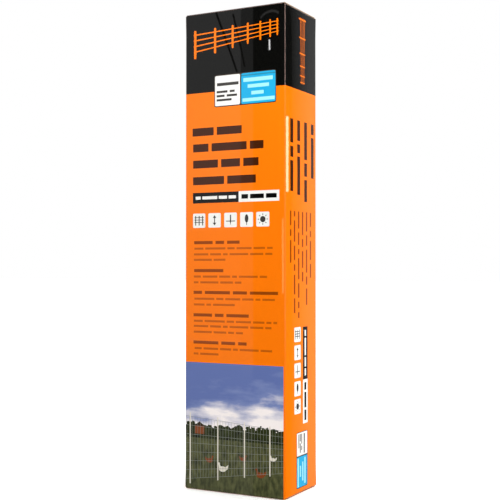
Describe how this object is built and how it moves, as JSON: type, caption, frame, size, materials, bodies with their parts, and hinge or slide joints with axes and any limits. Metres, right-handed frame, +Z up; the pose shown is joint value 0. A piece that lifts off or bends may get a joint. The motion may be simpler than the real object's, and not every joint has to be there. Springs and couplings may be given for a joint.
{
  "type": "tall retail carton of electric poultry netting",
  "caption": "Tall closed corrugated carton with glossy printed panels and glued flaps, packed with a bundle of poultry netting.",
  "frame": {"origin": "centre of the carton's base, on the surface it stands on", "axes": "+Z up along the carton, -Y out of the wide front panel, +X out of the narrow side panel that the picture shows"},
  "size_m": [0.331, 0.209, 1.4],
  "materials": {
    "printed_board": "gloss laminated print on white lined corrugated board",
    "net_and_posts": "matt twine net folded round its posts"
  },
  "bodies": {
    "root": {"carton": "printed_board", "netting_bundle": "net_and_posts"}
  },
  "joints": []
}
